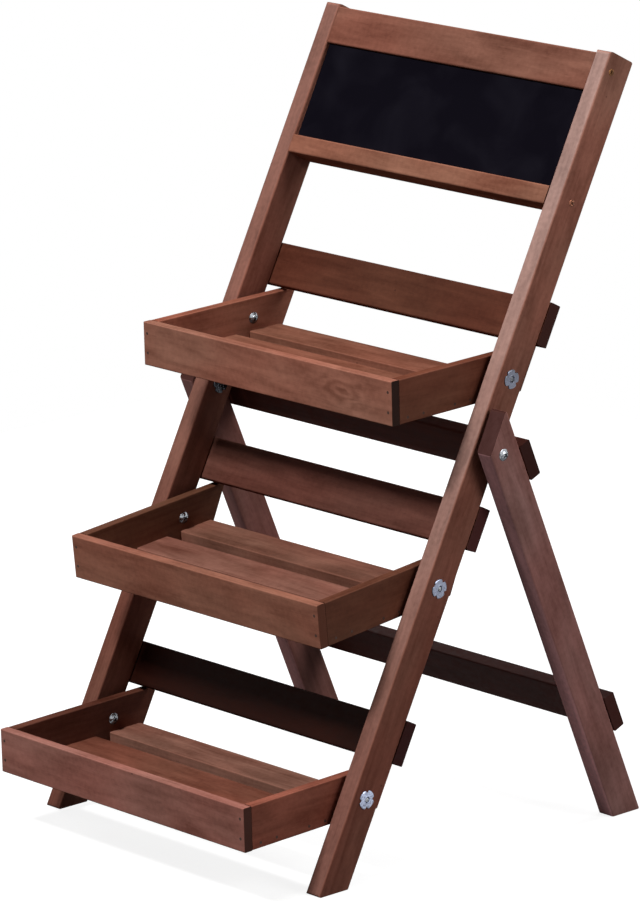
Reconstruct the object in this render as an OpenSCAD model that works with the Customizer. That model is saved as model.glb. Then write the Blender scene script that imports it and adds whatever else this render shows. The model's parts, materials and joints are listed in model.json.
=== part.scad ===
// Folding ladder stand with three hinged slatted trays, a chalkboard header and a folding rear leg frame.
// Millimetres. X runs across the stand, -Y is the front and Z is up.
// The origin is on the floor, at the middle of the footprint of the open stand.

/* [Ladder frame] */
// Width over the two stiles
frame_w = 460; // [420:5:520]
// Length of a stile along its front edge
stile_len = 993; // [960:1:1040]
// Depth of a stile, front to back
stile_d = 41.5; // [38:0.5:43]
// Thickness of a stile across the stand
stile_t = 22; // [20:0.5:24]
// Lean of the stiles from upright, in degrees
stile_lean = 27.2; // [26.5:0.1:28]
// Rounding of the long edges of stiles and legs
post_r = 3; // [1.5:0.5:4]

/* [Header] */
// Height of the top rail
top_rail_h = 44.5; // [36:0.5:50]
// Thickness of the top rail
top_rail_t = 22; // [18:0.5:24]
// Distance from the top of the stiles to the top rail
top_rail_drop = 3.5; // [0:0.5:12]
// Set-back of the top rail behind the fronts of the stiles
top_rail_back = 1.5; // [0:0.5:4]
// Height of the chalkboard seen between the rails
board_h = 114.5; // [90:0.5:120]
// Height of the bottom rail, which lies flat and is as deep as the stiles
bottom_rail_h = 21.5; // [16:0.5:24]
// Set-back of the chalkboard's face behind the fronts of the stiles
board_back = 7; // [6:0.5:9]
// Thickness of the chalkboard panel
board_t = 6; // [4:0.5:8]
// Depth of the groove that holds the chalkboard all round
groove_deep = 6; // [4:0.5:8]

/* [Crossbars] */
// Height of a crossbar
crossbar_h = 50; // [44:0.5:52]
// Thickness of a crossbar
crossbar_t = 16.5; // [14:0.5:18]

/* [Trays] */
// Width of a tray
tray_w = 408; // [380:1:410]
// Height of the front and side boards of a tray
tray_h = 51; // [48:0.5:52]
// Thickness of the front and side boards of a tray
tray_t = 12; // [10:0.5:13]
// Distance from the front of a tray to its bolts
tray_front = 159; // [156:0.5:162]
// Distance from the bolts of a tray to the rear end of its side boards, along the top edge
tray_rear = 68; // [62:0.5:68]
// Height of a tray's top edge over its bolts
tray_top_edge = 24; // [23:0.5:25]
// Width of a slat
slat_w = 48; // [44:0.5:50]
// Thickness of a slat
slat_t = 12.5; // [10:0.5:13]
// Distance along a stile from the floor to the bolts of the bottom tray
first_bolt = 120; // [115:1:125]
// Distance along a stile from one tray's bolts to the next
bolt_step = 246; // [240:1:250]
// Tilt of the top and bottom trays, front down, in degrees
tray_tilt = 1.5; // [1:0.1:2.5]
// Tilt of the middle tray, front down, in degrees
middle_tilt = 6; // [4.5:0.1:6.5]

/* [Rear legs] */
// Distance along a stile from the floor to the pivot
pivot_s = 528; // [520:1:536]
// Lean of the rear legs from upright, in degrees
leg_lean = 23.1; // [22:0.1:24]
// Width of a leg, front to back
leg_d = 42.5; // [38:0.5:44]
// Thickness of a leg across the stand
leg_t = 22; // [20:0.5:24]
// How far the middle of a leg lies behind its pivot
leg_offset = 3.5; // [2:0.5:5]
// Gap between a leg and a stile
leg_gap = 4.5; // [4:0.1:5]
// Height of a leg crossbar
leg_bar_h = 45.5; // [42:0.5:48]
// Distance along a leg from the pivot to the top of the lower crossbar
low_bar_t = 355; // [350:1:362]

/* [Hardware] */
// Diameter of the bolts
bolt_dia = 6; // [5:0.5:6]
// Diameter of a bolt's domed head
head_dia = 13.6; // [12:0.2:15]
// Height of a bolt's domed head
head_h = 3.6; // [3:0.1:4]
// Diameter of a star nut's plate
nut_dia = 22; // [19:0.5:24]
// Thickness of a star nut's plate
nut_t = 1.6; // [1.2:0.1:2]
// Diameter of the spacing washers
washer_dia = 16; // [14:0.5:18]
// Shank diameter of a wood screw
screw_dia = 4; // [3.5:0.5:4]
// Head diameter of a wood screw
screw_head_dia = 8; // [7:0.5:9]
// Shank diameter of a nail
nail_dia = 1.8; // [1.6:0.1:2]
// Head diameter of a nail
nail_head_dia = 3.4; // [3:0.1:4]

/* [Hidden] */

// Colours: stained hardwood, chalkboard paint, zinc plate and nail heads
WOOD = "#7d5041";
SLAT = "#8a5c4c";
SLATE = "#13111a";
ZINC = "#a8b0c4";
NAIL = "#3a2a24";

// Round surfaces
$fn = 32;
// Rounding of the top ends of the stiles, seen from the side
post_end_r = 5;
// Rounding of the feet of stiles and legs, seen from the side
foot_r = 2.5;
// Rounding of a leg's top corners, seen from the side
leg_corner_r = 3;
// A leg's top is one slanting cut, from this far above the pivot at the front edge
leg_top_front = 9;
// to this far above it at the rear edge
leg_top_rear = 46;
// Rounding of the edges of rails and crossbars
bar_r = 2;
// Rounding of the edges of tray boards and slats
board_r = 1.5;
// Rounding of a tray's rear top corners, seen from the side
tray_corner_r = 3;
// Rounding of cut ends
cut_r = 0.8;
// Running room round a bolt, on the diameter
bolt_room = 0.1;
// Room round screws and nails, on the diameter
drill_room = 0.1;
// Room round the chalkboard in its groove, on each side
groove_room = 0.1;
// Room between a washer and the board that turns against it
washer_room = 0.4;
// Room between a bolt's head and the board that turns under it
head_room = 0.2;
// How far a bolt's end stays behind its nut's plate
end_room = 0.3;
// Room left where a tray or a leg rests on its stop
stop_room = 0.4;
// Barrel of a star nut
barrel_dia = 8;
barrel_len = 9;
// Notches of a star nut's plate
notch_dia = 4.4;
// Length of the screws and height of their heads
screw_len = 42;
screw_head_h = 3;
// Length of the nails and height of their heads
nail_len = 28;
nail_head_h = 0.8;
// Extra length that makes a cut come out clean
over = 1;

// Places along the stiles and behind their front faces
inner_x = frame_w / 2 - stile_t;
outer_x = frame_w / 2;
tray_x = tray_w / 2;
bolt_d = stile_d / 2;
top_rail_s = stile_len - top_rail_drop - top_rail_h;
bottom_rail_s = top_rail_s - board_h - bottom_rail_h;

// Trays, from the top one down
bolts = [first_bolt + 2 * bolt_step, first_bolt + bolt_step, first_bolt];
tilts = [tray_tilt, middle_tilt, tray_tilt];

// A tray rests with its side boards' top edges up against the rounded rear lower edge of its
// crossbar, so this is how far along the stiles the crossbar's underside lies
function stop_s(i) =
    let (slope = stile_lean + tilts[i], reach = stile_d + crossbar_t - bar_r - bolt_d)
    bolts[i] + (tray_top_edge + stop_room + bar_r + reach * sin(slope)) / cos(slope) - bar_r;

// The legs stand behind their pivot, outside the stiles, and lean the other way
leg_angle = stile_lean + leg_lean;
leg_rear = leg_offset + leg_d / 2;
leg_front = leg_offset - leg_d / 2;
leg_in_x = outer_x + leg_gap;
leg_out_x = leg_in_x + leg_t;
pivot_z = pivot_s * cos(stile_lean) - bolt_d * sin(stile_lean);

// The upper leg crossbar stops the legs where its rounded front top edge meets the stiles' rear
// faces, so this is how far below the pivot its top lies
high_bar_t = (stile_d + stop_room + bar_r - bolt_d - (leg_rear + bar_r) * cos(leg_angle)) / sin(leg_angle)
    - bar_r;

// The footprint runs from the bottom tray's front top edge to the top corner of the stiles
front_y = first_bolt * sin(stile_lean) + bolt_d * cos(stile_lean)
    - tray_front * cos(tray_tilt) - tray_top_edge * sin(tray_tilt);
rear_y = (stile_len - post_end_r) * sin(stile_lean) + (stile_d - post_end_r) * cos(stile_lean) + post_end_r;
foot_y = -(front_y + rear_y) / 2;

// Where the screws and nails go
// [behind the front face, along the stile] of the screws into the rails' ends
rail_screws_at = [
    [top_rail_back + top_rail_t / 2, top_rail_s + 0.6 * top_rail_h],
    [bolt_d, bottom_rail_s + bottom_rail_h / 2]
];
// Up from a crossbar's lower edge
bar_screws = [12, crossbar_h - 12];
leg_bar_screws = [12, leg_bar_h - 12];
// From the front of a tray to the front edge of each slat
slats = [tray_t, 84.5, 152.5];
// Each way from the middle of a slat's end
slat_nails = [-12, 12];
// Down from the top edge of a front board
front_nails = [13, 36];

// Frames that the pieces are drawn in

// x across, y behind the front faces of the stiles, z along the stiles from the floor
module on_stiles() {
    translate([0, foot_y, 0]) rotate([-stile_lean, 0, 0]) children();
}

// x across, y rearward from the bolts of tray i, z up from them
module on_tray(i) {
    on_stiles() translate([0, bolt_d, bolts[i]]) rotate([stile_lean + tilts[i], 0, 0]) children();
}

// x across, y behind the pivot, z up along the legs from it
module on_legs() {
    on_stiles() translate([0, bolt_d, pivot_s]) rotate([leg_angle, 0, 0]) children();
}

module on_both_sides() {
    children();
    mirror([1, 0, 0]) children();
}

// Outlines and boards

// A rectangle with one corner at the origin and all four corners rounded
module rounded_rect(w, h, r) {
    translate([r, 0]) square([w - 2 * r, h]);
    translate([0, r]) square([w, h - 2 * r]);
    for (x = [r, w - r], y = [r, h - r]) translate([x, y]) circle(r);
}

function unit(v) = v / norm(v);

// The two tangent points and the centre of the arc that rounds corner q between p and s
function rounding(p, q, s, r) =
    let (u = unit(p - q), v = unit(s - q), half = acos(u * v) / 2)
    [q + u * r / tan(half), q + v * r / tan(half), q + unit(u + v) * r / sin(half)];

// A convex outline whose corners are rounded by the radii given, 0 for a sharp one
module rounded_outline(points, radii) {
    n = len(points);
    corners = [for (k = [0:n - 1])
        rounding(points[(k + n - 1) % n], points[k], points[(k + 1) % n], radii[k])];
    polygon([for (k = [0:n - 1]) each radii[k] > 0 ? [corners[k][0], corners[k][1]] : [points[k]]]);
    for (k = [0:n - 1]) if (radii[k] > 0) translate(corners[k][2]) circle(radii[k]);
}

// Extrudes an outline drawn in y and z along x, from x0 to x1
module along_x(x0, x1) {
    translate([x0, 0, 0]) rotate([90, 0, 90]) linear_extrude(x1 - x0) children();
}

// A board that lies along x about its middle, d deep and h high, with edges rounded by r
module board_x(len, d, h, r) {
    intersection() {
        along_x(-len / 2, len / 2) rounded_rect(d, h, r);
        translate([-len / 2, 0, -over]) linear_extrude(h + 2 * over) rounded_rect(len, d, cut_r);
    }
}

// A round rod along x
module rod_x(x0, x1, dia) {
    translate([x0, 0, 0]) rotate([0, 90, 0]) cylinder(h = x1 - x0, d = dia);
}

// Hardware, drawn along x: the head is at x = 0 and looks towards +x

// A wood screw with a countersunk head that is flush with the surface; room makes it its own hole
module screw(room) {
    rod_x(-screw_len - room, -screw_head_h / 2, screw_dia + room);
    rotate([0, -90, 0]) cylinder(h = screw_head_h, d1 = screw_head_dia + room, d2 = screw_dia + room);
}

// A nail with a flat head that is flush with the surface; room makes it its own hole
module nail(room) {
    rod_x(-nail_len - room, -nail_head_h / 2, nail_dia + room);
    rod_x(-nail_head_h - room / 2, 0, nail_head_dia + room);
}

// A bolt whose domed head stands on the surface
module bolt(len) {
    dome_r = (head_dia * head_dia / 4 + head_h * head_h) / (2 * head_h);
    rod_x(-len, head_h / 2, bolt_dia);
    rotate([0, 90, 0]) intersection() {
        cylinder(h = head_h + over, d = head_dia);
        translate([0, 0, head_h - dome_r]) sphere(dome_r, $fn = 64);
    }
}

// A star nut: a round plate with four notches on the surface, and a barrel in the wood behind it
module star_nut() {
    difference() {
        union() {
            rod_x(0, nut_t, nut_dia);
            rod_x(-barrel_len, nut_t / 2, barrel_dia);
        }
        rod_x(-barrel_len - over, nut_t + over, bolt_dia + bolt_room);
        for (turn = [45:90:315]) rotate([turn, 0, 0]) translate([0, 0, nut_dia / 2])
            rod_x(-over, nut_t + over, notch_dia);
    }
}

// The hole in a stile for a bolt and its star nut, whose plate is at x = 0
module nut_hole() {
    rod_x(-stile_t - over, over, bolt_dia + bolt_room);
    rod_x(-barrel_len - drill_room, over, barrel_dia + drill_room);
}

// Ladder frame

// The screws at the right ends of the crossbars, in the stiles' frame
module crossbar_screws_right(room) {
    for (i = [0:2], up = bar_screws)
        translate([outer_x - stile_t / 2, stile_d + crossbar_t, stop_s(i) + up])
            rotate([0, 0, 90]) screw(room);
}

// The screws through the right stile into the rails, in the stiles' frame
module rail_screws_right(room) {
    for (at = rail_screws_at) translate([outer_x, at[0], at[1]]) screw(room);
}

// Seen from the side: square at the top and cut level with the floor
module stile_outline() {
    rounded_outline(
        [[0, 0], [stile_d, stile_d * tan(stile_lean)], [stile_d, stile_len], [0, stile_len]],
        [foot_r, foot_r, post_end_r, post_end_r]
    );
}

// The right stile, with its groove for the chalkboard and its holes for bolts, nuts and screws
module stile() {
    color(WOOD) on_stiles() difference() {
        intersection() {
            translate([inner_x, 0, 0]) linear_extrude(stile_len) rounded_rect(stile_t, stile_d, post_r);
            along_x(inner_x - over, outer_x + over) stile_outline();
        }
        board_groove();
        for (s = bolts) translate([outer_x, bolt_d, s]) nut_hole();
        translate([inner_x, bolt_d, pivot_s]) mirror([1, 0, 0]) nut_hole();
        rail_screws_right(drill_room);
        crossbar_screws_right(drill_room);
    }
}

module stile_left() {
    mirror([1, 0, 0]) stile();
}

module stile_right() {
    stile();
}

// The space of the chalkboard panel, made wider all round by room, in the stiles' frame
module board_space(room) {
    half_w = inner_x + groove_deep + room;
    low_s = bottom_rail_s + bottom_rail_h - groove_deep - room;
    translate([-half_w, board_back - room, low_s])
        cube([2 * half_w, board_t + 2 * room, board_h + 2 * groove_deep + 2 * room]);
}

module board_groove() {
    board_space(groove_room);
}

// The top rail stands on edge between the stiles
module top_rail() {
    color(WOOD) on_stiles() difference() {
        translate([0, top_rail_back, top_rail_s]) board_x(2 * inner_x, top_rail_t, top_rail_h, bar_r);
        board_groove();
        on_both_sides() rail_screws_right(drill_room);
    }
}

// The bottom rail lies flat between the stiles
module bottom_rail() {
    color(WOOD) on_stiles() difference() {
        translate([0, 0, bottom_rail_s]) board_x(2 * inner_x, stile_d, bottom_rail_h, bar_r);
        board_groove();
        on_both_sides() rail_screws_right(drill_room);
    }
}

module chalkboard_panel() {
    color(SLATE) on_stiles() board_space(0);
}

module rail_screws() {
    color(ZINC) on_stiles() on_both_sides() rail_screws_right(0);
}

// Crossbar i lies across the rear faces of the stiles, over tray i
module crossbar(i) {
    color(WOOD) on_stiles() difference() {
        translate([0, stile_d, stop_s(i)]) board_x(frame_w, crossbar_t, crossbar_h, bar_r);
        on_both_sides() crossbar_screws_right(drill_room);
    }
}

module crossbar_top() {
    crossbar(0);
}

module crossbar_middle() {
    crossbar(1);
}

module crossbar_bottom() {
    crossbar(2);
}

module crossbar_screws() {
    color(ZINC) on_stiles() on_both_sides() crossbar_screws_right(0);
}

// Each tray hangs on two bolts, whose heads are inside it and whose nuts are outside the stiles
module tray_bolts() {
    head_x = tray_x - tray_t - head_room;
    color(ZINC) on_stiles() on_both_sides() for (s = bolts)
        translate([head_x, bolt_d, s]) mirror([1, 0, 0]) bolt(outer_x + nut_t - end_room - head_x);
}

module tray_nuts() {
    color(ZINC) on_stiles() on_both_sides() for (s = bolts) translate([outer_x, bolt_d, s]) star_nut();
}

// A washer fills the gap between x0 and x1, less the room for turning
module washer(x0, x1) {
    difference() {
        rod_x(x0, x1, washer_dia);
        rod_x(x0 - over, x1 + over, bolt_dia + bolt_room);
    }
}

module tray_washers() {
    color(ZINC) on_stiles() on_both_sides() for (s = bolts)
        translate([0, bolt_d, s]) washer(tray_x + washer_room, inner_x);
}

// The legs turn on two bolts, whose heads are outside them and whose nuts are inside the stiles
module pivot_bolts() {
    head_x = leg_out_x + head_room;
    color(ZINC) on_stiles() on_both_sides()
        translate([head_x, bolt_d, pivot_s]) bolt(head_x - inner_x + nut_t - end_room);
}

module pivot_nuts() {
    color(ZINC) on_stiles() on_both_sides()
        translate([inner_x, bolt_d, pivot_s]) mirror([1, 0, 0]) star_nut();
}

module pivot_washers() {
    color(ZINC) on_stiles() on_both_sides()
        translate([0, bolt_d, pivot_s]) washer(outer_x, leg_in_x - washer_room);
}

// Trays, drawn in a tray's own frame

// The nails on the right of a tray: two through the front board, and two into each slat's end
module tray_nails_right(room) {
    for (down = front_nails)
        translate([tray_x - tray_t / 2, -tray_front, tray_top_edge - down]) rotate([0, 0, -90]) nail(room);
    for (from_front = slats, along = slat_nails)
        translate([tray_x, from_front + slat_w / 2 + along - tray_front, tray_top_edge - tray_h + slat_t / 2])
            nail(room);
}

module tray_front_board(i) {
    color(SLAT) on_tray(i) difference() {
        translate([0, -tray_front, tray_top_edge - tray_h]) board_x(tray_w, tray_t, tray_h, board_r);
        on_both_sides() tray_nails_right(drill_room);
    }
}

// Seen from the side: the rear end slants with the stiles and its top corner is rounded
module tray_side_outline() {
    slant = tray_h * tan(stile_lean + tray_tilt);
    low = tray_top_edge - tray_h;
    rounded_outline(
        [[tray_t - tray_front, low], [tray_rear - slant, low],
            [tray_rear, tray_top_edge], [tray_t - tray_front, tray_top_edge]],
        [0, board_r, tray_corner_r, 0]
    );
}

// The right side board of a tray
module tray_side() {
    difference() {
        intersection() {
            along_x(tray_x - tray_t, tray_x) tray_side_outline();
            translate([tray_x - tray_t, -tray_front, tray_top_edge]) rotate([-90, 0, 0])
                linear_extrude(tray_front + tray_rear + over) rounded_rect(tray_t, tray_h, board_r);
        }
        rod_x(tray_x - tray_t - over, tray_x + over, bolt_dia + bolt_room);
        tray_nails_right(drill_room);
    }
}

module tray_side_left(i) {
    color(SLAT) on_tray(i) mirror([1, 0, 0]) tray_side();
}

module tray_side_right(i) {
    color(SLAT) on_tray(i) tray_side();
}

// Slat k of tray i, from the front, nailed between the side boards
module tray_slat(i, k) {
    color(SLAT) on_tray(i) difference() {
        translate([0, slats[k] - tray_front, tray_top_edge - tray_h])
            board_x(tray_w - 2 * tray_t, slat_w, slat_t, board_r);
        on_both_sides() tray_nails_right(drill_room);
    }
}

module tray_nails(i) {
    color(NAIL) on_tray(i) on_both_sides() tray_nails_right(0);
}

// Rear legs, drawn in the legs' frame

// The screws at the right ends of the leg crossbars
module leg_screws_right(room) {
    for (top = [high_bar_t, low_bar_t], up = leg_bar_screws)
        translate([leg_in_x + leg_t / 2, leg_rear + crossbar_t, up - top - leg_bar_h])
            rotate([0, 0, 90]) screw(room);
}

// How far below the pivot, along the legs, the floor is met at y
function floor_below(y) = (pivot_z + y * sin(leg_lean)) / cos(leg_lean);

// Seen from the side: one slanting cut at the top, and cut level with the floor
module leg_outline() {
    rounded_outline(
        [[leg_front, -floor_below(leg_front)], [leg_rear, -floor_below(leg_rear)],
            [leg_rear, leg_top_rear], [leg_front, leg_top_front]],
        [foot_r, foot_r, leg_corner_r, leg_corner_r]
    );
}

// The right leg, with its pivot hole and its screw holes
module leg() {
    leg_below = floor_below(leg_rear) + over;
    color(WOOD) on_legs() difference() {
        intersection() {
            translate([leg_in_x, leg_front, -leg_below]) linear_extrude(leg_below + leg_top_rear + over)
                rounded_rect(leg_t, leg_d, post_r);
            along_x(leg_in_x - over, leg_out_x + over) leg_outline();
        }
        rod_x(leg_in_x - over, leg_out_x + over, bolt_dia + bolt_room);
        leg_screws_right(drill_room);
    }
}

module rear_leg_left() {
    mirror([1, 0, 0]) leg();
}

module rear_leg_right() {
    leg();
}

// A crossbar across the rear faces of the legs, with its top edge this far below the pivot
module leg_crossbar(top) {
    color(WOOD) on_legs() difference() {
        translate([0, leg_rear, -top - leg_bar_h]) board_x(2 * leg_out_x, crossbar_t, leg_bar_h, bar_r);
        on_both_sides() leg_screws_right(drill_room);
    }
}

module leg_crossbar_upper() {
    leg_crossbar(high_bar_t);
}

module leg_crossbar_lower() {
    leg_crossbar(low_bar_t);
}

module leg_crossbar_screws() {
    color(ZINC) on_legs() on_both_sides() leg_screws_right(0);
}

stile_left();
stile_right();
top_rail();
bottom_rail();
chalkboard_panel();
rail_screws();
crossbar_top();
crossbar_middle();
crossbar_bottom();
crossbar_screws();
tray_bolts();
tray_nuts();
tray_washers();
pivot_bolts();
pivot_nuts();
pivot_washers();
tray_front_board(0);  // tray_top_front
tray_side_left(0);  // tray_top_side_left
tray_side_right(0);  // tray_top_side_right
tray_slat(0, 0);  // tray_top_slat_front
tray_slat(0, 1);  // tray_top_slat_middle
tray_slat(0, 2);  // tray_top_slat_rear
tray_nails(0);  // tray_top_nails
tray_front_board(1);  // tray_middle_front
tray_side_left(1);  // tray_middle_side_left
tray_side_right(1);  // tray_middle_side_right
tray_slat(1, 0);  // tray_middle_slat_front
tray_slat(1, 1);  // tray_middle_slat_middle
tray_slat(1, 2);  // tray_middle_slat_rear
tray_nails(1);  // tray_middle_nails
tray_front_board(2);  // tray_bottom_front
tray_side_left(2);  // tray_bottom_side_left
tray_side_right(2);  // tray_bottom_side_right
tray_slat(2, 0);  // tray_bottom_slat_front
tray_slat(2, 1);  // tray_bottom_slat_middle
tray_slat(2, 2);  // tray_bottom_slat_rear
tray_nails(2);  // tray_bottom_nails
rear_leg_left();
rear_leg_right();
leg_crossbar_upper();
leg_crossbar_lower();
leg_crossbar_screws();
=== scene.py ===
import json
import math

import bmesh
import bpy
from mathutils import Matrix, Vector


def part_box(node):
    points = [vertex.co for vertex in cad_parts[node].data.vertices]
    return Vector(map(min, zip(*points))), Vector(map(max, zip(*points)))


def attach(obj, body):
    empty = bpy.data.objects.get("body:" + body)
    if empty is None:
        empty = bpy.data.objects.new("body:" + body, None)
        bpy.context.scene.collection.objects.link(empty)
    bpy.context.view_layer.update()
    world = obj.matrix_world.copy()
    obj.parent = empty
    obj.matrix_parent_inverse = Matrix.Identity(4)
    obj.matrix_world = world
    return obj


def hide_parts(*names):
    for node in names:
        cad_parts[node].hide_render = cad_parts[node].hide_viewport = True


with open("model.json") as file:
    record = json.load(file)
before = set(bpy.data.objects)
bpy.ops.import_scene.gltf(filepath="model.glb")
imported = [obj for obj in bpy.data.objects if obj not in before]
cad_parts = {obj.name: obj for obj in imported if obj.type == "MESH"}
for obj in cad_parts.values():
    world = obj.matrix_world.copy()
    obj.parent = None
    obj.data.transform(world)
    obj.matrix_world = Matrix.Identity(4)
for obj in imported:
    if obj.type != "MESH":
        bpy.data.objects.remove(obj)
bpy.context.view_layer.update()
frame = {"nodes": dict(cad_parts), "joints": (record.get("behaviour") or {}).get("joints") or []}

nodes = frame["nodes"]
MM = 0.001
ACROSS = Vector((1, 0, 0))


# Stiles.
# The two leaning posts of the ladder frame, planed hardwood of 41.5 by 22 mm, dipped in a
# reddish brown stain. Each is one length with rounded long edges, cut level at the floor.

pivots = {joint["name"]: Vector(joint["pos_m"]) for joint in frame["joints"]}
up_stile = (pivots["tray_top_fold"] - pivots["tray_bottom_fold"]).normalized()
behind_stile = ACROSS.cross(up_stile) * -1

# Colours of the stained wood: the stiles' sides, their fronts low down and high up, painted paler
# with sheen and light, the right stile's most, and ends that soaked up more stain
STILE_TINT = "#835547"
STILE_FRONTS = {"stile_left": ("#835b50", "#835b50"), "stile_right": ("#c49e93", "#9f7f76")}
WOOD_END = "#351a16"
# Along the stiles the fronts get the least painted sheen and light below the first of these
# heights and all of it above the second. The third value is that least share of the full amount.
# Between the same heights painted shade low down turns to painted light high up.
PAINTED_LIGHT_FROM_HEIGHT = 150 * MM
PAINTED_LIGHT_TO_HEIGHT = 750 * MM
PAINTED_SHEEN_LEAST = 0.15
# Painted shade that darkens a stile low down and painted light that lifts it high up, as factors on its
# colour at those heights
PAINTED_SHADE_LOW = (0.76, 0.68, 0.66, 1)
PAINTED_LIGHT_HIGH = (1.08, 1.12, 1.12, 1)
# What streaks of more and of less stain do to a board's own colour, in red, green and blue
DEEP = (0.60, 0.53, 0.50)
PALE = (1.37, 1.43, 1.46)
# How the stain drifts along a board, from redder to browner
REDDER = (1.05, 0.97, 0.96, 1)
BROWNER = (0.96, 1.02, 1.02, 1)
# Real sizes of the figure: growth rings, streaks, fibres, stain blotches and drift, curly mottle
RING = 5 * MM
STREAK = 12 * MM
FIBRE = 1.3 * MM
BLOTCH = 36 * MM
DRIFT = 75 * MM
CURL = 5 * MM
PORE = 3.6 * MM
PIN_KNOT = 60 * MM
KNOT_REACH = 34 * MM
KNOT_RING = 15 * MM
# Figure that is drawn out along the grain: a little, much, and to fine hairs
SOFT = (1, 1, 0.4)
LONG = (1, 1, 0.13)
HAIR = (1, 1, 0.035)
KNOT_OVAL = (1, 1, 0.6)
# How much each part of the figure adds to the paleness of the wood. The last number brings the
# sum to about a half.
STREAK_SHARE = 1.1
FIBRE_SHARE = 0.3
BLOTCH_SHARE = 1.4
CURL_SHARE = 0.55
LATE_WOOD_SHARE = -0.1
SHARES_OFF = -1.15
KNOT_SHARE = 0.22
# How dark the stain is in open pores and in pin knots, on cut ends and on slanting cuts, where part of the
# darkness is painted shade
PORE_STAIN = 0.16
PIN_KNOT_STAIN = 0.6
END_STAIN = 0.96
SLANT_STAIN_AND_SHADE = 0.85
# How much paler the rounded edges are, partly wear and partly a painted highlight, and how much of that
# shows
EDGE_GAIN = 1.7
EDGE_SHOWN = 0.3
# The mottle of the painted sheen on a paler face: its darkest spots, and how much lighter its lightest ones
# are
MOTTLE_DARK = 0.74
MOTTLE_SPAN = 0.52
# The stain's gloss, from its shiniest to its dullest spots, and its faint sheen and relief
SATIN_SHINY = 0.45
SATIN_DULL = 0.62
SATIN_SHEEN = 0.05
GRAIN_RELIEF = 0.08 * MM


def linear(code, gain=1.0):
    """An sRGB hex colour as linear RGBA, made lighter or darker by gain."""
    values = [int(code[k : k + 2], 16) / 255 for k in (1, 3, 5)]
    return [gain * (v / 12.92 if v < 0.04045 else ((v + 0.055) / 1.055) ** 2.4) for v in values] + [1.0]


def add(tree, kind, inputs=None, **settings):
    """Adds a shader node. Each input gets a value, or a link where it is another node's output."""
    node = tree.nodes.new("ShaderNode" + kind)
    for key, value in settings.items():
        setattr(node, key, value)
    for key, value in (inputs or {}).items():
        if isinstance(value, bpy.types.NodeSocket):
            tree.links.new(value, node.inputs[key])
        else:
            node.inputs[key].default_value = value
    return node


def new_material(name, **values):
    """A material whose Principled shader has these plain values on its own sockets."""
    material = bpy.data.materials.new(name)
    material.use_nodes = True
    shader = material.node_tree.nodes["Principled BSDF"]
    for key, value in values.items():
        shader.inputs[key.replace("_", " ")].default_value = value
    return material, material.node_tree, shader


def middle(name):
    """The middle of a CAD node."""
    low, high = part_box(name)
    return (low + high) / 2


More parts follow.
